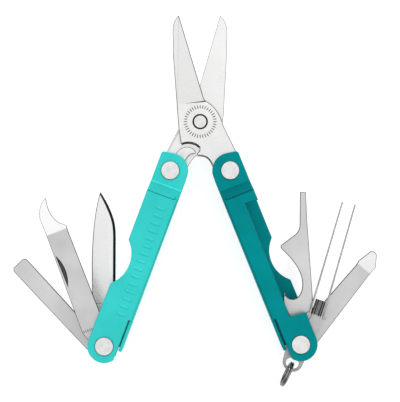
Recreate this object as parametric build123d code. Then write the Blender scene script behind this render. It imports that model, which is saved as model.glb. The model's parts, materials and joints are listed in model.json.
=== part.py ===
from build123d import *
import os

# A pocket folding multi tool, opened flat: two channel handles on a pair of scissors,
# with three tools fanned out of each handle.
# Millimetres. While it is drawn, the scissors pivot is the origin, +X is right, +Y is up
# towards the blade tips and Z = 0 is the plane in which the two scissor halves meet.

# handles: s runs from the scissors end to the tool end, t from the web to the open side
SPAN = 54.8            # scissors end pivot to tool pivot
LEFT_LEAN = 20.5       # degrees of each handle from straight down
RIGHT_LEAN = 22.0
SHANK_PIVOT = (8.8, 14.37)
SHEET = 1.0
WIDE_IN = 4.5          # half the inside height of the channel
NARROW_IN = 1.5        # half the inside height at the scissors end
WIDE_OUT = WIDE_IN + SHEET
NARROW_OUT = NARROW_IN + SHEET
JOGGLE_START = 4.6
JOGGLE_END = 7.6
WEB_OUT = 5.3
WEB_IN = WEB_OUT - SHEET
OPEN_EDGE = 4.25
LOWER_EDGE = 4.9
LOBE = 5.2
LEAF_START = 45.2
LEAF_EDGE = 3.95
BEND = 0.9

# pivots
SHAFT_R = 1.45
HOLE_R = 1.5
HEAD_R = 2.75
HEAD_H = 0.4
TANG_R = 3.9
WASHER_R = 2.5
CENTRE_HEAD_R = 1.93
CENTRE_POCKET_R = 2.1
POCKET_Z = 0.5
SHOULDER_TURN = 8.6
HALF = 1.2             # thickness of each scissor half
GAP = 0.02

# opening angle of each tool from its stowed place, at rest
FILE_OPEN = 41.8
KNIFE_OPEN = 22.8
DRIVER_OPEN = 68.0
OPENER_OPEN = 23.2
TWEEZER_OPEN = 41.0
PHILLIPS_OPEN = 62.7

# height band of each tool in the channels
FILE_Z = (3.5, 4.4)
TWEEZER_Z = (2.4, 3.45)
OPENER_Z = (1.25, 2.35)
BAIL_Z = (-0.4, 0.5)
DRIVER_Z = (-2.25, -1.25)
KNIFE_Z = (-3.35, -2.3)
PHILLIPS_Z = (-4.4, -3.4)

# tweezers, lanyard bail and split ring
ARM_THICK = 0.5
BAIL_TURN = -109.4
BAIL_REACH = 6.4
RING_R = 3.6
RING_WIRE = 0.62
RING_TURN = -116.0


def slab(line, z_low, z_high):
    face = make_face(line)
    return Pos(0, 0, z_low) * extrude(face, z_high - z_low, dir=(0, 0, 1))


def disc(radius, z_low, z_high, x=0, y=0):
    return Pos(x, y, (z_low + z_high) / 2) * Cylinder(radius, z_high - z_low)


def block(x_span, y_span, z_span):
    size = (x_span[1] - x_span[0], y_span[1] - y_span[0], z_span[1] - z_span[0])
    middle = (sum(x_span) / 2, sum(y_span) / 2, sum(z_span) / 2)
    return Pos(*middle) * Box(*size)


def washer(z_low, z_high, radius=WASHER_R):
    return disc(radius, z_low, z_high) - disc(HOLE_R, z_low - 1, z_high + 1)


# ---- handles ----

def narrow_flange():
    line = Polyline((JOGGLE_START, -WEB_OUT), (JOGGLE_START, OPEN_EDGE), (-4.1, OPEN_EDGE), (-4.6, 3.75), (-5.15, 0.6))
    line += ThreePointArc((-5.15, 0.6), (-3.72, -3.63), (0.5, -LOBE))
    line += Polyline((0.5, -LOBE), (1.4, -WEB_OUT), (JOGGLE_START, -WEB_OUT))
    return line


def full_flange():
    # open edge with its thumb notch, tool end lobe and the step beside the leaf spring
    line = Polyline((JOGGLE_END, -WEB_OUT), (JOGGLE_END, OPEN_EDGE), (23.2, OPEN_EDGE))
    line += ThreePointArc((23.2, OPEN_EDGE), (29.6, 1.45), (36.9, 4.7))
    line += Polyline((36.9, 4.7), (SPAN, LOWER_EDGE))
    line += ThreePointArc((SPAN, LOWER_EDGE), (SPAN + LOWER_EDGE, 0), (SPAN + 2.9, -LEAF_EDGE))
    line += Polyline((SPAN + 2.9, -LEAF_EDGE), (LEAF_START, -LEAF_EDGE), (LEAF_START, -WEB_OUT))
    line += Line((LEAF_START, -WEB_OUT), (JOGGLE_END, -WEB_OUT))
    return line


def cut_flange():
    # the same flange cut back to a strip, so that the tools can be reached
    line = Polyline((JOGGLE_END, -WEB_OUT), (JOGGLE_END, OPEN_EDGE), (11.1, OPEN_EDGE), (10.6, 0.3))
    line += Polyline((10.6, 0.3), (46.1, 0.1), (46.6, LOWER_EDGE), (SPAN, LOWER_EDGE))
    line += ThreePointArc((SPAN, LOWER_EDGE), (SPAN + LOWER_EDGE, 0), (SPAN + 2.9, -LEAF_EDGE))
    line += Polyline((SPAN + 2.9, -LEAF_EDGE), (LEAF_START, -LEAF_EDGE), (LEAF_START, -WEB_OUT))
    line += Line((LEAF_START, -WEB_OUT), (JOGGLE_END, -WEB_OUT))
    return line


def joggle(side):
    line = Polyline(
        (JOGGLE_START - 0.01, side * NARROW_IN),
        (JOGGLE_END + 0.01, side * WIDE_IN),
        (JOGGLE_END + 0.01, side * WIDE_OUT),
        (JOGGLE_START - 0.01, side * NARROW_OUT),
        close=True,
    )
    face = Plane.XZ * make_face(line)
    return Pos(0, OPEN_EDGE, 0) * extrude(face, OPEN_EDGE + WEB_OUT, dir=(0, -1, 0))


def web():
    # the back of the channel, which ends in a split leaf spring beside the tool pivot
    line = Polyline(
        (1.4, -NARROW_OUT),
        (JOGGLE_START, -NARROW_OUT),
        (JOGGLE_END, -WIDE_OUT),
        (LEAF_START, -WIDE_OUT),
        (LEAF_START, -WIDE_IN + 0.1),
        (SPAN, -WIDE_IN + 0.1),
        (SPAN, -0.8),
        (49.5, -0.8),
        (49.5, 0.9),
        (SPAN, 0.9),
        (SPAN, WIDE_IN - 0.1),
        (LEAF_START, WIDE_IN - 0.1),
        (LEAF_START, WIDE_OUT),
        (JOGGLE_END, WIDE_OUT),
        (JOGGLE_START, NARROW_OUT),
        (1.4, NARROW_OUT),
        close=True,
    )
    face = Plane.XZ * make_face(line)
    return Pos(0, -WEB_IN, 0) * extrude(face, SHEET, dir=(0, -1, 0))


def handle():
    body = web()
    body += slab(narrow_flange(), NARROW_IN, NARROW_OUT)
    body += slab(narrow_flange(), -NARROW_OUT, -NARROW_IN)
    body += joggle(1)
    body += joggle(-1)
    body += slab(cut_flange(), WIDE_IN, WIDE_OUT)
    body += slab(full_flange(), -WIDE_OUT, -WIDE_IN)
    corners = body.edges().filter_by(Axis.X).filter_by(
        lambda e: abs(e.center().Y + WEB_OUT) < 0.01 and abs(abs(e.center().Z) - WIDE_OUT) < 0.01
    )
    body = fillet(corners, BEND)
    body -= disc(HOLE_R, -WIDE_OUT - 1, WIDE_OUT + 1)
    body -= disc(HOLE_R, -WIDE_OUT - 1, WIDE_OUT + 1, SPAN)
    return body


def rivet(half_height):
    head_low = half_height
    shaft = disc(SHAFT_R, -head_low - 0.1, head_low + 0.1)
    body = shaft
    for side in (1, -1):
        head = disc(HEAD_R, head_low, head_low + HEAD_H)
        head = fillet(head.faces().sort_by(Axis.Z)[-1].edges(), 0.22)
        if side < 0:
            head = Rot(180, 0, 0) * head
        body += head
    return body


# ---- scissors ----

def half_outline_front():
    line = Spline((-6.3, 31.4), (-7.6, 29.6), (-8.1, 26.6), (-8.07, 21.0))
    line += Polyline((-8.07, 21.0), (-6.9, 5.6), (-6.38, -1.84), (-5.6, -6.6))
    line += Spline((-5.6, -6.6), (-3.6, -6.05), (-1.2, -6.6), (-0.1, -7.5))
    line += Polyline((-0.1, -7.5), (-0.15, -8.6), (-1.0, -9.5), (-0.75, -9.95))
    line += Spline((-0.75, -9.95), (0.55, -9.98), (2.1, -10.55), (3.2, -11.8), (4.9, -14.9))
    line += ThreePointArc((4.9, -14.9), (9.6, -18.2), (12.6, -13.1))
    line += Polyline((12.6, -13.1), (10.2, -8.0), (6.8, -1.1))
    line += Spline((6.8, -1.1), (5.3, 2.6), (3.6, 4.7), (1.45, 6.25))
    line += Polyline((1.45, 6.25), (1.05, 6.9), (-6.3, 31.4))
    return line


def half_outline_rear():
    line = Spline((5.9, 31.4), (7.4, 29.5), (8.0, 26.6), (7.95, 21.0))
    line += Polyline((7.95, 21.0), (7.54, 13.3), (6.95, 2.0), (6.3, -2.2), (4.6, -6.2))
    line += Polyline((4.6, -6.2), (1.2, -8.6), (-0.75, -9.9))
    line += Spline((-0.75, -9.9), (-2.15, -10.95), (-3.0, -12.2), (-4.9, -14.9))
    line += ThreePointArc((-4.9, -14.9), (-9.6, -18.2), (-12.6, -13.1))
    line += Polyline((-12.6, -13.1), (-9.6, -8.3), (-6.1, -1.5))
    line += Spline((-6.1, -1.5), (-4.9, 2.6), (-3.3, 4.7), (-1.4, 6.25))
    line += Polyline((-1.4, 6.25), (5.9, 31.4))
    return line


def scissor_half_front():
    body = slab(half_outline_front(), GAP / 2, HALF)
    ground = Rot(0, 5.5, 0) * block((-10, 1.0), (-3, 28), (0, 1.2))
    ground &= Rot(0, 0, -SHOULDER_TURN) * block((-12, 3), (0, 40), (-3, 3))
    body -= Location((1.25, 6.0, 0.45), (0, 0, 16.6)) * ground
    body -= disc(HOLE_R, -1, HALF + 1)
    body -= disc(CENTRE_POCKET_R, POCKET_Z, HALF + 1)
    body -= disc(HOLE_R, -1, HALF + 1, SHANK_PIVOT[0], -SHANK_PIVOT[1])
    return body


def scissor_half_rear():
    body = slab(half_outline_rear(), -HALF, -GAP / 2)
    ground = Rot(0, 5.5, 0) * block((-1.0, 10), (-3, 28), (-1.2, 0))
    ground &= Rot(0, 0, SHOULDER_TURN) * block((-3, 12), (0, 40), (-3, 3))
    body -= Location((-1.25, 6.0, -0.45), (0, 0, -16.6)) * ground
    body -= disc(HOLE_R, -HALF - 1, 1)
    body -= disc(CENTRE_POCKET_R, -HALF - 1, -POCKET_Z)
    body -= disc(HOLE_R, -HALF - 1, 1, -SHANK_PIVOT[0], -SHANK_PIVOT[1])
    return body


def centre_rivet():
    body = disc(SHAFT_R, -HALF, HALF)
    body += disc(CENTRE_HEAD_R, POCKET_Z + 0.05, HALF)
    body += disc(CENTRE_HEAD_R, -HALF, -POCKET_Z - 0.05)
    return body


def scissor_spring():
    line = Spline((-7.5, -10.6), (-6.2, -8.35), (-3.4, -7.45), (-1.75, -8.3), (-1.35, -8.85))
    line += Line((-1.35, -8.85), (-1.5, -9.4))
    line += Spline((-1.5, -9.4), (-3.3, -9.95), (-4.3, -11.3), (-5.2, -13.2))
    line += Polyline((-5.2, -13.2), (-9.0, -13.0), (-7.5, -10.6))
    finger = slab(line, 0.5, 1.15)
    eye = disc(TANG_R, 0.5, 1.15, -SHANK_PIVOT[0], -SHANK_PIVOT[1])
    return finger + eye - disc(HOLE_R, 0, 2, -SHANK_PIVOT[0], -SHANK_PIVOT[1])


# ---- tools: u runs from the pivot to the tip, v towards the side that opens first ----

def finish_tool(body, band):
    tang = disc(TANG_R, band[0], band[1])
    return body + tang - disc(HOLE_R, band[0] - 1, band[1] + 1)


def taper(body, band, start, slope):
    # both faces fall away towards the tip from start
    top = Location((start, 0, band[1])) * (Rot(0, slope, 0) * block((0, 30), (-8, 8), (0, 3)))
    low = Location((start, 0, band[0])) * (Rot(0, -slope, 0) * block((0, 30), (-8, 8), (-3, 0)))
    return body - top - low


def knife():
    line = Spline((2.0, -3.3), (18.8, -3.6), (30.0, -4.1), (35.5, -4.0), (39.5, -2.9), (45.1, -0.1))
    line += Spline((45.1, -0.1), (41.1, 1.05), (33.4, 2.4), (26.0, 3.1), (18.9, 3.4))
    line += Polyline((18.9, 3.4), (6.0, 3.6), (2.0, 3.3), (2.0, -3.3))
    body = slab(line, KNIFE_Z[0], KNIFE_Z[1])
    top_edges = body.edges().filter_by(lambda e: abs(e.center().Z - KNIFE_Z[1]) < 0.01)
    spine = top_edges.sort_by(Axis.Y)[0]
    body = chamfer(spine, 0.5, 0.75)
    bevel = Polyline((0.9, 0), (-6, 0), (-6, 1), (0.9, 1), close=True)
    cutter = extrude(Plane.YZ * make_face(bevel), 38, dir=(1, 0, 0))
    for side in (1, -1):
        height = KNIFE_Z[1] if side > 0 else KNIFE_Z[0]
        piece = cutter if side > 0 else mirror(cutter, Plane.XY)
        body -= Location((12.0, 3.55, height - side * 0.4)) * (Rot(-side * 4.2, 0, -4.0) * piece)
    return finish_tool(body, KNIFE_Z)


def nail_file():
    line = Spline((46.6, 0.15), (45.4, 2.1), (43.7, 3.35), (41.5, 4.15))
    line += Polyline((41.5, 4.15), (35.4, 4.1), (5.7, 4.6), (2.0, 3.35), (2.0, -2.3))
    line += Polyline((2.0, -2.3), (34.9, -2.3), (36.9, -2.45), (37.9, -1.3))
    line += Spline((37.9, -1.3), (39.5, -0.1), (42.8, 0.7), (46.6, 0.15))
    body = slab(line, FILE_Z[0], FILE_Z[1])
    body = taper(body, FILE_Z, 35.9, 1.2)
    nick = ThreePointArc((20.4, 3.55), (24.2, 2.65), (29.2, 3.6)) + Polyline((29.2, 3.6), (20.4, 3.55))
    body -= slab(nick, FILE_Z[1] - 0.35, FILE_Z[1] + 1)
    return finish_tool(body, FILE_Z)


def driver():
    line = Polyline((2.0, 3.3), (2.4, 5.0), (34.6, 2.65), (35.4, 1.9), (35.1, -2.0), (34.3, -2.65))
    line += Polyline((34.3, -2.65), (13.0, -0.8), (2.0, -2.6), (2.0, 3.3))
    body = slab(line, DRIVER_Z[0], DRIVER_Z[1])
    body = taper(body, DRIVER_Z, 24.0, 1.3)
    return finish_tool(body, DRIVER_Z)


def opener():
    # screwdriver tip, cap lifter beak, bottle gap and can hook
    line = Polyline((44.5, -0.95), (34.4, -0.8))
    line += Spline((34.4, -0.8), (32.6, -1.5), (31.2, -3.0))
    line += Polyline((31.2, -3.0), (28.6, -6.3), (27.7, -6.15))
    line += Spline((27.7, -6.15), (21.5, -0.8), (17.7, 0.35), (15.0, 0.0), (13.1, -1.6), (13.0, -3.2), (14.9, -4.65))
    line += Spline((14.9, -4.65), (13.0, -5.15), (8.4, -3.5), (2.0, -3.3))
    line += Polyline((2.0, -3.3), (2.0, 3.35), (12.4, 3.55), (25.4, 2.3), (36.7, 1.3), (44.5, 0.8), (44.5, -0.95))
    body = taper(slab(line, OPENER_Z[0], OPENER_Z[1]), OPENER_Z, 34.0, 1.6)
    return finish_tool(body, OPENER_Z)


def phillips():
    line = Polyline((2.0, -2.0), (28.4, -1.85), (30.0, -2.1), (34.4, -1.2))
    line += ThreePointArc((34.4, -1.2), (34.95, -0.1), (34.7, 0.95))
    line += Polyline((34.7, 0.95), (31.5, 3.15), (29.4, 3.0), (3.1, 4.5), (2.0, 3.35), (2.0, -2.0))
    body = slab(line, PHILLIPS_Z[0], PHILLIPS_Z[1])
    body = taper(body, PHILLIPS_Z, 28.9, 1.5)
    return finish_tool(body, PHILLIPS_Z)


def tweezer_holder():
    # flat tang whose outer end is rolled into two tubes that hold the arms
    line = Polyline((2.0, -1.2), (8.5, 0.45), (14.0, 0.3), (14.0, 3.1), (8.5, 3.2), (4.8, 4.2), (2.0, 3.35), close=True)
    body = slab(line, TWEEZER_Z[0], TWEEZER_Z[1] - 0.3)
    for across in (0.6, 2.6):
        tube = Cylinder(0.52, 4.6, rotation=(0, 90, 0))
        body += Pos(11.7, across, TWEEZER_Z[1] - 0.52) * tube
    return finish_tool(body, TWEEZER_Z)


def tweezer_arm(side):
    # flat strip on edge, rolled into a bead at its root
    root = (9.0, 0.0) if side < 0 else (9.4, 3.6)
    tip = (43.3, -1.65) if side < 0 else (43.8, 1.76)
    thick = side * ARM_THICK
    line = Polyline(root, tip, (tip[0], tip[1] + 0.7 * thick), (root[0], root[1] + thick), close=True)
    bead = disc(0.55, TWEEZER_Z[0], TWEEZER_Z[1], root[0], root[1] + side * 0.62)
    return slab(line, TWEEZER_Z[0], TWEEZER_Z[1]) + bead


# ---- lanyard bail and split ring: u runs from the pivot outwards ----

def bail():
    line = Polyline((0, -TANG_R + 0.2), (5.6, -3.0))
    line += ThreePointArc((5.6, -3.0), (8.9, 0), (5.6, 3.0))
    line += Polyline((5.6, 3.0), (0, TANG_R - 0.2), (0, -TANG_R + 0.2))
    body = slab(line, BAIL_Z[0], BAIL_Z[1])
    body += disc(TANG_R - 0.2, BAIL_Z[0], BAIL_Z[1])
    body -= disc(HOLE_R, BAIL_Z[0] - 1, BAIL_Z[1] + 1)
    slot = extrude(SlotOverall(3.9, 2.9, rotation=90), 4, both=True)
    return body - Pos(BAIL_REACH, 0, 0) * slot


def split_ring():
    # two turns of wire side by side, in the plane of u and Z
    upper = Torus(RING_R, RING_WIRE / 2)
    turns = Pos(0, 0, RING_WIRE / 2 - 0.02) * upper + Pos(0, 0, -RING_WIRE / 2 + 0.02) * upper
    return Pos(RING_R, 0, (BAIL_Z[0] + BAIL_Z[1]) / 2) * Rot(90, 0, 0) * turns


# ---- places ----

RIGHT_TOP = Pos(SHANK_PIVOT[0], -SHANK_PIVOT[1], 0)
LEFT_TOP = Pos(-SHANK_PIVOT[0], -SHANK_PIVOT[1], 0)
RIGHT_HANDLE = RIGHT_TOP * Rot(0, 0, -90 + RIGHT_LEAN)
LEFT_HANDLE = LEFT_TOP * Rot(0, 0, -90 - LEFT_LEAN) * Rot(180, 0, 0)
RIGHT_TOOLS = Pos(*(RIGHT_HANDLE * Pos(SPAN, 0, 0)).position)
LEFT_TOOLS = Pos(*(LEFT_HANDLE * Pos(SPAN, 0, 0)).position)


def on_left(body, opened):
    return LEFT_TOOLS * Rot(0, 0, 90 - LEFT_LEAN + opened) * body


def on_right(body, opened):
    return RIGHT_TOOLS * Rot(0, 0, 90 + RIGHT_LEAN - opened) * mirror(body, Plane.XZ)


def ring_place():
    hole = RIGHT_TOOLS * Rot(0, 0, BAIL_TURN) * Pos(BAIL_REACH, 0, 0)
    return Pos(*hole.position) * Rot(0, 0, RING_TURN)


nodes = {
    "left_handle": LEFT_HANDLE * handle(),
    "right_handle": RIGHT_HANDLE * handle(),
    "left_handle_rivet": LEFT_TOP * rivet(NARROW_OUT),
    "right_handle_rivet": RIGHT_TOP * rivet(NARROW_OUT),
    "left_tool_rivet": LEFT_TOOLS * rivet(WIDE_OUT),
    "right_tool_rivet": RIGHT_TOOLS * rivet(WIDE_OUT),
    "scissor_half_front": scissor_half_front(),
    "scissor_half_rear": scissor_half_rear(),
    "scissor_rivet": centre_rivet(),
    "scissor_spring": scissor_spring(),
    "scissor_spring_washer": LEFT_TOP * washer(0.05, 0.45),
    "left_front_shim": LEFT_TOP * washer(1.2, 1.48),
    "left_rear_shim": LEFT_TOP * washer(-1.48, -1.22),
    "right_front_shim": RIGHT_TOP * washer(1.22, 1.48),
    "right_rear_bush": RIGHT_TOP * washer(-1.48, -0.03),
    "nail_file": on_left(nail_file(), FILE_OPEN),
    "knife_blade": on_left(knife(), KNIFE_OPEN),
    "screwdriver": on_left(driver(), DRIVER_OPEN),
    "bottle_opener": on_right(opener(), OPENER_OPEN),
    "tweezer_holder": on_right(tweezer_holder(), TWEEZER_OPEN),
    "tweezer_arm_left": on_right(tweezer_arm(-1), TWEEZER_OPEN),
    "tweezer_arm_right": on_right(tweezer_arm(1), TWEEZER_OPEN),
    "phillips_driver": on_right(phillips(), PHILLIPS_OPEN),
    "nail_file_washer": LEFT_TOOLS * washer(2.5, FILE_Z[0] - 0.05),
    "left_spacer": LEFT_TOOLS * washer(-0.15, 2.45),
    "screwdriver_washer": LEFT_TOOLS * washer(DRIVER_Z[1] + 0.05, -0.2),
    "knife_washer": LEFT_TOOLS * washer(-4.4, KNIFE_Z[0] - 0.05),
    "tweezer_washer": RIGHT_TOOLS * washer(TWEEZER_Z[1] + 0.05, 4.4),
    "opener_washer": RIGHT_TOOLS * washer(0.55, OPENER_Z[0] - 0.05),
    "right_spacer": RIGHT_TOOLS * washer(-2.35, -0.45),
    "phillips_washer": RIGHT_TOOLS * washer(PHILLIPS_Z[1] + 0.05, -2.4),
    "lanyard_bail": RIGHT_TOOLS * Rot(0, 0, BAIL_TURN) * bail(),
    "split_ring": ring_place() * split_ring(),
}

# the origin is the middle of the whole tool's underside
boxes = [solid.bounding_box() for solid in nodes.values()]
X_MIDDLE = (min(box.min.X for box in boxes) + max(box.max.X for box in boxes)) / 2
Y_MIDDLE = (min(box.min.Y for box in boxes) + max(box.max.Y for box in boxes)) / 2
Z_BASE = min(box.min.Z for box in boxes)
TO_ORIGIN = Pos(-X_MIDDLE, -Y_MIDDLE, -Z_BASE)

os.makedirs("parts", exist_ok=True)
for name, solid in nodes.items():
    export_step(TO_ORIGIN * solid, f"parts/{name}.step")
print("scissors pivot at", TO_ORIGIN.position)
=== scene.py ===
import bmesh
import bpy
import json
import math
from mathutils import Matrix, Vector


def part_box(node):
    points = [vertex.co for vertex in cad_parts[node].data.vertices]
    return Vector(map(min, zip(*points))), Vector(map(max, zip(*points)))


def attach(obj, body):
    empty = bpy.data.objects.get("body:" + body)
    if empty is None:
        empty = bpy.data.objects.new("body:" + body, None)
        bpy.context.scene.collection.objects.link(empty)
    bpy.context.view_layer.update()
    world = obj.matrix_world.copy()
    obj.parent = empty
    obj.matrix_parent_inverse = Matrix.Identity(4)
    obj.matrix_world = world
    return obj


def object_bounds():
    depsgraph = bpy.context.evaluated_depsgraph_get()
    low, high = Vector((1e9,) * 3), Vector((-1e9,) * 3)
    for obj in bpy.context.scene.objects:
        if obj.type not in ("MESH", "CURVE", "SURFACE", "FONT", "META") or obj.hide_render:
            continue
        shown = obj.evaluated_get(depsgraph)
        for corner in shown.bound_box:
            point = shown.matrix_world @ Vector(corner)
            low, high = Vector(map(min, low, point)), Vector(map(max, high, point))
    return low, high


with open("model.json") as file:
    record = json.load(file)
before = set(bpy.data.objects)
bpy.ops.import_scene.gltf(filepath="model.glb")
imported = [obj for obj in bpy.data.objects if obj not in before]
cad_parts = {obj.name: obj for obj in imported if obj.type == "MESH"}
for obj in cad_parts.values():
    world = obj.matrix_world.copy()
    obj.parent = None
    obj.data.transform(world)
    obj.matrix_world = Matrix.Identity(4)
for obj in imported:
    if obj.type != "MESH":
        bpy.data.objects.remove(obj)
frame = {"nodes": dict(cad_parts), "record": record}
CAD_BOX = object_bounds()
NODES = frame["nodes"]
JOINTS = {joint["name"]: joint for joint in frame["record"]["behaviour"]["joints"]}
MM = 0.001


# ---- places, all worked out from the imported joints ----

def pivot(joint):
    return Vector(JOINTS[joint]["pos_m"])


SCISSORS = pivot("scissors_cut")
LEFT_TOP = pivot("left_handle_fold")
RIGHT_TOP = pivot("right_handle_fold")
LEFT_TOOLS = pivot("knife_open")
RIGHT_TOOLS = pivot("opener_open")


def heading(a, b):
    return math.atan2(b.y - a.y, b.x - a.x)


LEFT_UP = heading(LEFT_TOOLS, LEFT_TOP)
RIGHT_UP = heading(RIGHT_TOOLS, RIGHT_TOP)


def opened(joint, side):
    """direction of a tool at rest: its stowed direction turned by the angle it stands open"""
    stowed = LEFT_UP if side > 0 else RIGHT_UP
    return stowed - side * math.radians(JOINTS[joint]["range_deg"][0])


OPENER_DRAWN = math.radians(5)
AIM = {
    "nail_file": opened("nail_file_open", 1),
    "knife_blade": opened("knife_open", 1),
    "screwdriver": opened("screwdriver_open", 1),
    "bottle_opener": opened("opener_open", -1) - OPENER_DRAWN,
    "tweezer_holder": opened("tweezer_open", -1),
    "phillips_driver": opened("phillips_open", -1),
}


# ---- materials ----

class Nodes:
    """a small builder for a node material"""

    def __init__(self, name):
        self.material = bpy.data.materials.new(name)
        self.material.use_nodes = True
        self.tree = self.material.node_tree
        self.shader = self.tree.nodes["Principled BSDF"]

    def add(self, kind, **values):
        node = self.tree.nodes.new(kind)
        for key, value in values.items():
            setattr(node, key, value)
        return node

    def link(self, out_socket, in_socket):
        self.tree.links.new(out_socket, in_socket)

    def coordinates(self, origin=(0, 0, 0), turn=0.0, scale=(1, 1, 1)):
        """object coordinates, from origin, turned so that X runs along a direction, then scaled"""
        place = self.add("ShaderNodeTexCoord")
        move = self.add("ShaderNodeVectorMath", operation="SUBTRACT")
        move.inputs[1].default_value = origin
        self.link(place.outputs["Object"], move.inputs[0])
        rotate = self.add("ShaderNodeVectorRotate", rotation_type="Z_AXIS")
        rotate.inputs["Angle"].default_value = -turn
        self.link(move.outputs[0], rotate.inputs["Vector"])
        stretch = self.add("ShaderNodeVectorMath", operation="MULTIPLY")
        stretch.inputs[1].default_value = scale
        self.link(rotate.outputs[0], stretch.inputs[0])
        return stretch.outputs[0]

    def noise(self, vector, scale, detail=3.0):
        noise = self.add("ShaderNodeTexNoise")
        noise.inputs["Scale"].default_value = scale
        noise.inputs["Detail"].default_value = detail
        self.link(vector, noise.inputs["Vector"])
        return noise.outputs["Fac"]

    def ramp(self, value, low, high, start=0.3, end=0.7):
        """value mapped to colours or greys between low and high"""
        ramp = self.add("ShaderNodeValToRGB")
        stops = ramp.color_ramp.elements
        stops[0].position = start
        stops[1].position = end
        stops[0].color = low if isinstance(low, tuple) else (low, low, low, 1)
        stops[1].color = high if isinstance(high, tuple) else (high, high, high, 1)
        self.link(value, ramp.inputs["Fac"])
        return ramp.outputs["Color"]

    def mix(self, factor, first, second):
        """first where factor is 0, second where it is 1; first may be a plain colour"""
        mix = self.add("ShaderNodeMix", data_type="RGBA")
        self.link(factor, mix.inputs["Factor"])
        if isinstance(first, tuple):
            mix.inputs[6].default_value = first
        else:
            self.link(first, mix.inputs[6])
        self.link(second, mix.inputs[7])
        return mix.outputs[2]

    def bump(self, height, strength, distance):
        bump = self.add("ShaderNodeBump")
        bump.inputs["Strength"].default_value = strength
        bump.inputs["Distance"].default_value = distance
        self.link(height, bump.inputs["Height"])
        return bump.outputs["Normal"]

    def shade_by_facing(self, colour, edge, ground_shade=None):
        """colour on flat faces; painted shade chosen by facing: a darker ground colour on gently sloping
        faces and the darker edge colour on side walls
        """
        place = self.add("ShaderNodeTexCoord")
        split = self.add("ShaderNodeSeparateXYZ")
        self.link(place.outputs["Normal"], split.inputs[0])
        height = self.add("ShaderNodeMath", operation="ABSOLUTE")
        self.link(split.outputs["Z"], height.inputs[0])
        # painted shade: faces turned away from straight up take the darker edge colour
        flat = self.ramp(height.outputs[0], 0.0, 1.0, 0.9, 0.99)
        if ground_shade:
            # painted shade: gently sloping ground faces take the darker ground colour
            slope_shade_mask = self.ramp(height.outputs[0], 0.0, 1.0, 0.9963, 0.9992)
            colour = self.mix(slope_shade_mask, ground_shade, colour)
        return self.mix(flat, edge, colour)

    def axis_past(self, vector, limit):
        """0 before limit along X, 1 past it, with a soft step between"""
        split = self.add("ShaderNodeSeparateXYZ")
        self.link(vector, split.inputs[0])
        step = self.add("ShaderNodeMapRange", clamp=True)
        step.inputs["From Min"].default_value = limit
        step.inputs["From Max"].default_value = limit + 0.4 * MM
        self.link(split.outputs["X"], step.inputs["Value"])
        return step.outputs[0]


def grey(value):
    return (value, value, value * 0.995, 1)


def enamel(name, deep, light, origin, turn):
    """painted sheet: a fine orange peel, small changes of tone, worn a little along its length"""
    kit = Nodes(name)
    place = kit.coordinates(origin, turn)
    tone = kit.noise(place, 90, 4)
    kit.link(kit.ramp(tone, deep, light, 0.25, 0.75), kit.shader.inputs["Base Color"])
    grain = kit.noise(kit.coordinates(origin, turn, (0.25, 1.0, 1.0)), 5200, 2)
    kit.link(kit.ramp(grain, 0.38, 0.5), kit.shader.inputs["Roughness"])
    peel = kit.noise(place, 3200, 2)
    kit.link(kit.bump(peel, 0.12, 0.00003), kit.shader.inputs["Normal"])
    kit.shader.inputs["Metallic"].default_value = 0.45
    kit.shader.inputs["Specular IOR Level"].default_value = 0.05
    return kit.material


def steel(name, low, high, rough, origin, turn, tip=None, edge=0.03, ground_shade=None):
    """brushed steel: fine lines across the tool, soft patches, and a brighter end past tip, with painted
    shade: side walls darker, and sloping ground faces darker when a ground grey is given
    """
    kit = Nodes(name)
    lines = kit.noise(kit.coordinates(origin, turn, (1.0, 0.05, 1.0)), 5200, 3)
    patches = kit.noise(kit.coordinates(origin, turn, (0.6, 1.0, 1.0)), 110, 3)
    both = kit.add("ShaderNodeMath", operation="MULTIPLY_ADD")
    both.inputs[1].default_value = 0.35
    kit.link(lines, both.inputs[0])
    kit.link(patches, both.inputs[2])
    colour = kit.ramp(both.outputs[0], grey(low), grey(high), 0.45, 0.95)
    roughness = kit.ramp(lines, rough - 0.05, rough + 0.07)
    if tip is not None:
        past = kit.axis_past(kit.coordinates(origin, turn), tip)
        colour = kit.mix(past, colour, kit.ramp(patches, grey(0.8), grey(0.9)))
        roughness = kit.mix(past, roughness, kit.ramp(lines, 0.2, 0.27))
    # painted shade: side walls take the edge grey, sloping ground faces the ground grey
    kit.link(kit.shade_by_facing(colour, grey(edge), ground_shade), kit.shader.inputs["Base Color"])
    kit.link(roughness, kit.shader.inputs["Roughness"])
    kit.link(kit.bump(lines, 0.06, 0.00002), kit.shader.inputs["Normal"])
    kit.shader.inputs["Metallic"].default_value = 0.85
    return kit.material


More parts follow.
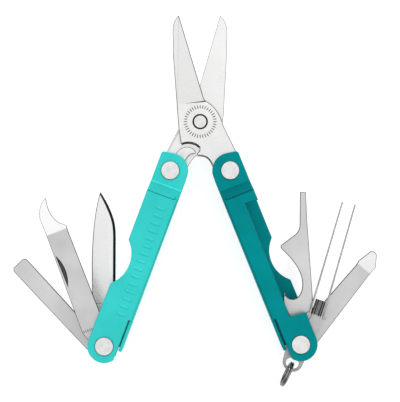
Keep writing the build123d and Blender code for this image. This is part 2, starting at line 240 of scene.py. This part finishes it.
def file_steel(name, origin, turn, tip):
    """matte steel cut with two crossing sets of fine teeth, plain and bright past tip, with side walls
    painted darker as shade
    """
    kit = Nodes(name)
    heights = []
    for angle in (0.9, -0.9):
        wave = kit.add("ShaderNodeTexWave", wave_type="BANDS", bands_direction="X")
        wave.inputs["Scale"].default_value = 900
        wave.inputs["Distortion"].default_value = 0.6
        kit.link(kit.coordinates(origin, turn + angle), wave.inputs["Vector"])
        heights.append(wave.outputs["Fac"])
    teeth = kit.add("ShaderNodeMath", operation="MULTIPLY")
    kit.link(heights[0], teeth.inputs[0])
    kit.link(heights[1], teeth.inputs[1])
    patches = kit.noise(kit.coordinates(origin, turn), 120, 4)
    past = kit.axis_past(kit.coordinates(origin, turn), tip)
    cut = kit.ramp(patches, grey(0.52), grey(0.63))
    whole = kit.mix(past, cut, kit.ramp(patches, grey(0.92), grey(0.98)))
    # painted shade: side walls take the near black edge grey
    kit.link(kit.shade_by_facing(whole, grey(0.03)), kit.shader.inputs["Base Color"])
    roughness = kit.mix(past, kit.ramp(patches, 0.44, 0.52), kit.ramp(patches, 0.2, 0.26))
    kit.link(roughness, kit.shader.inputs["Roughness"])
    depth = kit.add("ShaderNodeMath", operation="MULTIPLY")
    kit.link(teeth.outputs[0], depth.inputs[0])
    smooth = kit.add("ShaderNodeMath", operation="SUBTRACT")
    smooth.inputs[0].default_value = 1.0
    kit.link(past, smooth.inputs[1])
    kit.link(smooth.outputs[0], depth.inputs[1])
    kit.link(kit.bump(depth.outputs[0], 0.3, 0.00004), kit.shader.inputs["Normal"])
    kit.shader.inputs["Metallic"].default_value = 0.8
    return kit.material


def spun(name, low, high, rough, edge=0.06):
    """steel turned or tumbled to an even satin, with fine pits, and side walls painted darker as shade"""
    kit = Nodes(name)
    patches = kit.noise(kit.coordinates(), 700, 4)
    pits = kit.noise(kit.coordinates(), 6000, 2)
    colour = kit.ramp(patches, grey(low), grey(high))
    # painted shade: side walls take the edge grey
    kit.link(kit.shade_by_facing(colour, grey(edge)), kit.shader.inputs["Base Color"])
    kit.link(kit.ramp(pits, rough - 0.05, rough + 0.08), kit.shader.inputs["Roughness"])
    kit.link(kit.bump(pits, 0.15, 0.00002), kit.shader.inputs["Normal"])
    kit.shader.inputs["Metallic"].default_value = 0.85
    return kit.material


def shaded_sleeve_steel(name, origin, turn, start):
    """satin steel, painted dark past start, where it is rolled into a sleeve, as shade on the rolled curve;
    side walls painted darker as shade
    """
    kit = Nodes(name)
    patches = kit.noise(kit.coordinates(), 700, 4)
    past = kit.axis_past(kit.coordinates(origin, turn), start)
    plain = kit.ramp(patches, grey(0.42), grey(0.52))
    # painted shade: the rolled part past start is painted dark
    rolled_shade = kit.ramp(patches, grey(0.1), grey(0.18))
    colour = kit.mix(past, plain, rolled_shade)
    kit.link(kit.shade_by_facing(colour, grey(0.03)), kit.shader.inputs["Base Color"])
    kit.link(kit.ramp(patches, 0.26, 0.38), kit.shader.inputs["Roughness"])
    kit.link(kit.bump(patches, 0.1, 0.00002), kit.shader.inputs["Normal"])
    kit.shader.inputs["Metallic"].default_value = 0.85
    return kit.material


def engraved_and_shade(name):
    """dark etched marks; the same dark is also used for the pieces of painted shade"""
    kit = Nodes(name)
    patches = kit.noise(kit.coordinates(), 2500, 3)
    kit.link(kit.ramp(patches, grey(0.02), grey(0.06)), kit.shader.inputs["Base Color"])
    kit.link(kit.ramp(patches, 0.5, 0.65), kit.shader.inputs["Roughness"])
    return kit.material


# ---- finishing the CAD nodes ----

def dress(name, material, bevel, segments=2):
    """material, and edges softened by bevel mm, for one CAD node"""
    node = NODES[name]
    if not node.material_slots:
        node.data.materials.append(material)
    for one in node.material_slots:
        one.link = "OBJECT"
        one.material = material
    if bevel:
        weld = node.modifiers.new("joined_faces", "WELD")
        weld.merge_threshold = 0.001 * MM
        flat = node.modifiers.new("plain_faces", "DECIMATE")
        flat.decimate_type = "DISSOLVE"
        flat.angle_limit = math.radians(0.5)
        edge = node.modifiers.new("soft_edges", "BEVEL")
        edge.width = bevel * MM
        edge.segments = segments
        edge.use_clamp_overlap = False
        edge.limit_method = "ANGLE"
        edge.angle_limit = math.radians(40)
        edge.harden_normals = True


FRONT_BLADE_TURN = math.radians(106.6)
REAR_BLADE_TURN = math.radians(73.4)
FILE_END = 35.9 * MM
PHILLIPS_END = 28.9 * MM
SLEEVE_START = 9.3 * MM
TOOL_EDGE = 0.26

LIGHT_TURQUOISE = ((0.034, 0.57, 0.54, 1), (0.048, 0.67, 0.635, 1))
DEEP_TEAL = ((0.0, 0.222, 0.24, 1), (0.0, 0.283, 0.298, 1))
LEFT_ENAMEL = enamel("left_enamel", *LIGHT_TURQUOISE, LEFT_TOP, LEFT_UP)
RIGHT_ENAMEL = enamel("right_enamel", *DEEP_TEAL, RIGHT_TOP, RIGHT_UP)
# painted shade: each edge value is the grey painted on side walls, and the ground greys are painted on the
# blade's and knife's sloping ground faces
RIVET = spun("rivet_steel", 0.68, 0.80, 0.4)
WASHER = spun("washer_steel", 0.5, 0.6, 0.4)
DARK_STEEL = spun("spring_steel", 0.34, 0.5, 0.28, 0.05)
RING = spun("ring_steel", 0.3, 0.45, 0.2, 0.2)
BLADE = steel("blade_steel", 0.76, 0.85, 0.3, SCISSORS, FRONT_BLADE_TURN, ground_shade=grey(0.74))
REAR_BLADE = steel("rear_blade_steel", 0.77, 0.85, 0.3, SCISSORS, REAR_BLADE_TURN, edge=0.4)
FINGER = spun("finger_steel", 0.7, 0.82, 0.32, 0.03)
KNIFE = steel("knife_steel", 0.8, 0.9, 0.3, LEFT_TOOLS, AIM["knife_blade"], ground_shade=grey(0.79))
FILE = file_steel("file_steel", LEFT_TOOLS, AIM["nail_file"], FILE_END)
DRIVER = steel("driver_steel", 0.54, 0.70, 0.36, LEFT_TOOLS, AIM["screwdriver"])
OPENER = steel("opener_steel", 0.54, 0.65, 0.36, RIGHT_TOOLS, AIM["bottle_opener"])
PHILLIPS = steel("phillips_steel", 0.52, 0.64, 0.36, RIGHT_TOOLS, AIM["phillips_driver"], PHILLIPS_END)
SHADED_SLEEVE = shaded_sleeve_steel("shaded_sleeve_steel", RIGHT_TOOLS, AIM["tweezer_holder"], SLEEVE_START)
# used for the real etched ticks and for the pieces of painted shade
MARKS_AND_SHADE = engraved_and_shade("etched_marks_and_shade")

dress("left_handle", LEFT_ENAMEL, 0.25, 3)
dress("right_handle", RIGHT_ENAMEL, 0.28, 3)
for name in NODES:
    if name.endswith("rivet"):
        dress(name, RIVET, 0.2, 4)
    elif name.endswith(("washer", "shim", "spacer", "bush")):
        dress(name, WASHER, 0.06)
dress("scissor_half_front", BLADE, TOOL_EDGE, 3)
dress("scissor_half_rear", REAR_BLADE, TOOL_EDGE, 3)
dress("scissor_spring", FINGER, 0.2, 3)
dress("knife_blade", KNIFE, TOOL_EDGE, 3)
dress("nail_file", FILE, 0.2, 3)
dress("screwdriver", DRIVER, TOOL_EDGE, 3)
dress("bottle_opener", OPENER, TOOL_EDGE, 3)
dress("phillips_driver", PHILLIPS, TOOL_EDGE, 3)
dress("tweezer_holder", SHADED_SLEEVE, 0)
dress("tweezer_arm_left", DARK_STEEL, 0.06)
dress("tweezer_arm_right", DARK_STEEL, 0.06)
dress("lanyard_bail", RING, 0.1)
dress("split_ring", RING, 0)


# ---- small pieces that the CAD leaves out, and dark plates and strips of painted shade ----

def piece(name, mesh, material, body, smooth=False):
    bmesh.ops.recalc_face_normals(mesh, faces=mesh.faces)
    data = bpy.data.meshes.new(name)
    mesh.to_mesh(data)
    mesh.free()
    data.materials.append(material)
    thing = bpy.data.objects.new(name, data)
    bpy.context.scene.collection.objects.link(thing)
    for face in data.polygons:
        face.use_smooth = smooth
    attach(thing, body)


def rounded_bar(mesh, centre, turn, length, width, height):
    """one bar with sloping sides and a crowned top, standing on a face"""
    rings = ((1.0, 0.0), (0.94, 0.45), (0.8, 0.85), (0.5, 1.0))
    steps = 16
    levels = []
    for shrink, level in rings:
        row = []
        for k in range(steps):
            angle = 2 * math.pi * k / steps
            reach = (length - width * (1 - shrink)) / 2
            x = math.copysign(abs(math.cos(angle)) ** 0.5, math.cos(angle)) * reach
            y = math.copysign(abs(math.sin(angle)) ** 0.6, math.sin(angle)) * width / 2 * shrink
            spot = Matrix.Rotation(turn, 3, "Z") @ Vector((x, y, 0))
            row.append(mesh.verts.new(Vector(centre) + spot + Vector((0, 0, level * height))))
        levels.append(row)
    for low, high in zip(levels, levels[1:]):
        for k in range(steps):
            mesh.faces.new((low[k], low[(k + 1) % steps], high[(k + 1) % steps], high[k]))
    mesh.faces.new(levels[-1])
    mesh.faces.new(levels[0][::-1])


def handle_relief():
    """an even row of raised bars on the handle's front face"""
    mesh = bmesh.new()
    along = Vector((-math.cos(LEFT_UP), -math.sin(LEFT_UP), 0))
    to_web = Vector((math.sin(LEFT_UP), -math.cos(LEFT_UP), 0))
    face_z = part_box("left_handle")[1][2] - 0.01 * MM
    start, pitch, count = 11.5 * MM, 2.35 * MM, 15
    for k in range(count):
        spot = LEFT_TOP + along * (start + pitch * k) + to_web * 1.5 * MM
        place = (spot.x, spot.y, face_z)
        rounded_bar(mesh, place, LEFT_UP + math.pi / 2, 3.0 * MM, 0.75 * MM, 0.12 * MM)
    piece("left_handle_relief", mesh, LEFT_ENAMEL, "left_handle", True)


def tick_ring():
    """an even ring of etched ticks round the scissors pivot"""
    mesh = bmesh.new()
    face_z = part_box("scissor_half_front")[1][2] - 0.015 * MM
    count, reach = 36, 4.35 * MM
    for k in range(count):
        angle = 2 * math.pi * k / count
        spot = SCISSORS + Vector((math.cos(angle), math.sin(angle), 0)) * reach
        rounded_bar(mesh, (spot.x, spot.y, face_z), angle, 1.1 * MM, 0.26 * MM, 0.035 * MM)
    piece("pivot_tick_ring", mesh, MARKS_AND_SHADE, "front_half")


def file_ticks():
    """a short row of etched ticks across the file's tang"""
    mesh = bmesh.new()
    face_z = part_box("nail_file")[1][2] - 0.015 * MM
    turn = AIM["nail_file"]
    for k in range(5):
        across = (1.6 + 0.62 * k) * MM
        spot = LEFT_TOOLS + Matrix.Rotation(turn, 3, "Z") @ Vector((5.9 * MM, across, 0))
        rounded_bar(mesh, (spot.x, spot.y, face_z), turn, 0.8 * MM, 0.24 * MM, 0.03 * MM)
    piece("file_tick_row", mesh, MARKS_AND_SHADE, "file")


def flat_patch(mesh, points, height):
    """a thin closed plate with its top at height"""
    top = [mesh.verts.new((spot.x, spot.y, height)) for spot in points]
    low = [mesh.verts.new((spot.x, spot.y, height - 0.03 * MM)) for spot in points]
    count = len(points)
    for k in range(count):
        mesh.faces.new((low[k], low[(k + 1) % count], top[(k + 1) % count], top[k]))
    mesh.faces.new(top)
    mesh.faces.new(low[::-1])


def pocket_shade():
    """painted shade: a dark ring on the pocket floor round the scissors rivet's head"""
    mesh = bmesh.new()
    inner = 1.96 * MM
    outer = 2.1 * MM
    floor_z = SCISSORS.z + 0.52 * MM
    steps = 48
    for k in range(steps):
        a = 2 * math.pi * k / steps
        b = 2 * math.pi * (k + 1) / steps
        ends = ((inner, a), (outer, a), (outer, b), (inner, b))
        spots = [SCISSORS + Vector((math.cos(t), math.sin(t), 0)) * r for r, t in ends]
        flat_patch(mesh, spots, floor_z)
    piece("pivot_pocket_shade", mesh, MARKS_AND_SHADE, "front_half")


def strip_shade(name, points, width, height, body):
    """a narrow dark strip of painted shade along an edge, in mm from the scissors pivot"""
    mesh = bmesh.new()
    for (x0, y0), (x1, y1) in zip(points, points[1:]):
        span = math.hypot(x1 - x0, y1 - y0)
        nx = (y0 - y1) / span * width
        ny = (x1 - x0) / span * width
        corners = ((x0, y0), (x1, y1), (x1 + nx, y1 + ny), (x0 + nx, y0 + ny))
        spots = [SCISSORS + Vector((x * MM, y * MM, 0)) for x, y in corners]
        flat_patch(mesh, spots, SCISSORS.z + height * MM)
    piece(name, mesh, MARKS_AND_SHADE, body)


def nick_shade():
    """painted shade on the bottom of the file's long nail nick"""
    mesh = bmesh.new()
    floor_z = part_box("nail_file")[1][2] - 0.33 * MM
    turn = Matrix.Rotation(AIM["nail_file"], 3, "Z")
    steps = 12
    curve = []
    for k in range(steps + 1):
        part = k / steps
        curve.append((20.5 + 8.6 * part, 3.5 - 0.8 * math.sin(math.pi * part)))
    flat_patch(mesh, [LEFT_TOOLS + turn @ Vector((x * MM, y * MM, 0)) for x, y in curve], floor_z)
    piece("file_nick_shade", mesh, MARKS_AND_SHADE, "file")


def slit_shade(side):
    """painted shade: a dark plate at the bottom of the slit that frees a handle's leaf spring"""
    mesh = bmesh.new()
    top = LEFT_TOP if side == "left" else RIGHT_TOP
    up = LEFT_UP if side == "left" else RIGHT_UP
    turn = 1 if side == "left" else -1
    along = Vector((-math.cos(up), -math.sin(up), 0))
    to_web = Vector((math.sin(up), -math.cos(up), 0)) * turn
    corners = ((45.3, 3.93), (54.6, 3.93), (54.6, 4.4), (45.3, 4.4))
    spots = [top + (along * s + to_web * t) * MM for s, t in corners]
    flat_patch(mesh, spots, top.z - 4.3 * MM)
    piece(side + "_slit_shade", mesh, MARKS_AND_SHADE, side + "_handle")


handle_relief()
slit_shade("left")
slit_shade("right")
tick_ring()
file_ticks()
pocket_shade()
nick_shade()
# painted shadows along the front half's notch edge and arch edge
NOTCH = ((-5.55, -6.5), (-4.8, -6.2), (-3.6, -6.05), (-2.4, -6.2), (-1.2, -6.6), (-0.15, -7.4))
strip_shade("notch_edge_shade", NOTCH, -0.42, 0.1, "front_half")
ARCH = ((-0.7, -9.95), (0.55, -10.0), (1.4, -10.2), (2.1, -10.55), (2.7, -11.1), (3.2, -11.8), (3.9, -13.2))
strip_shade("arch_edge_shade", ARCH, -0.24, 0.1, "front_half")


# ---- stage, light and camera ----

def stage_floor():
    kit = Nodes("pale_floor")
    tone = kit.noise(kit.coordinates(), 6, 2)
    kit.link(kit.ramp(tone, (0.48, 0.48, 0.48, 1), (0.5, 0.5, 0.5, 1)), kit.shader.inputs["Base Color"])
    kit.shader.inputs["Roughness"].default_value = 0.9
    kit.shader.inputs["Emission Color"].default_value = (1, 1, 1, 1)
    kit.shader.inputs["Emission Strength"].default_value = 0.7
    bpy.ops.mesh.primitive_plane_add(size=3, location=(0, 0, -0.0002))
    floor = bpy.context.object
    floor.name = "floor"
    floor.data.materials.append(kit.material)


def area_light(name, place, aim, size, watts):
    data = bpy.data.lights.new(name, "AREA")
    data.shape = "RECTANGLE"
    data.size = size[0]
    data.size_y = size[1]
    data.energy = watts
    lamp = bpy.data.objects.new(name, data)
    bpy.context.scene.collection.objects.link(lamp)
    lamp.location = place
    lamp.rotation_euler = (Vector(aim) - Vector(place)).to_track_quat("-Z", "Y").to_euler()


def studio():
    """a bright ceiling that darkens towards the horizon, two soft boxes and a weak high sun"""
    world = bpy.data.worlds.new("studio")
    bpy.context.scene.world = world
    world.use_nodes = True
    tree = world.node_tree
    place = tree.nodes.new("ShaderNodeTexCoord")
    split = tree.nodes.new("ShaderNodeSeparateXYZ")
    ramp = tree.nodes.new("ShaderNodeValToRGB")
    ramp.color_ramp.elements[0].position = 0.15
    ramp.color_ramp.elements[0].color = (0.2, 0.2, 0.205, 1)
    ramp.color_ramp.elements[1].position = 0.85
    ramp.color_ramp.elements[1].color = (1.0, 1.0, 1.0, 1)
    tree.links.new(place.outputs["Generated"], split.inputs[0])
    tree.links.new(split.outputs["Z"], ramp.inputs["Fac"])
    tree.links.new(ramp.outputs["Color"], tree.nodes["Background"].inputs["Color"])
    tree.nodes["Background"].inputs["Strength"].default_value = 0.975
    area_light("key_box", (-0.15, 0.35, 0.6), (0, 0, 0), (0.8, 0.55), 0.5)
    sun_data = bpy.data.lights.new("high_sun", "SUN")
    sun_data.energy = 0.9
    sun_data.angle = math.radians(5)
    sun = bpy.data.objects.new("high_sun", sun_data)
    bpy.context.scene.collection.objects.link(sun)
    sun.rotation_euler = Vector((0.35, 1.3, 0.9)).to_track_quat("Z", "Y").to_euler()
    area_light("fill_box", (0.3, -0.25, 0.6), (0, 0, 0), (0.4, 0.4), 0.25)


def camera():
    """straight down on the opened tool, with its height upright in the picture"""
    low, high = CAD_BOX
    width = (high[0] - low[0]) * 1.0985
    data = bpy.data.cameras.new("camera")
    camera = bpy.data.objects.new("camera", data)
    bpy.context.scene.collection.objects.link(camera)
    distance = 0.4
    middle_z = (low[2] + high[2]) / 2
    middle_x = (low[0] + high[0]) / 2 + 1.3 * MM
    middle_y = (low[1] + high[1]) / 2
    camera.location = (middle_x, middle_y, middle_z + distance)
    data.sensor_width = 36
    data.lens = 36 * distance / width
    data.clip_start = 0.01
    bpy.context.scene.camera = camera


stage_floor()
studio()
camera()
bpy.context.scene.view_settings.view_transform = "Standard"
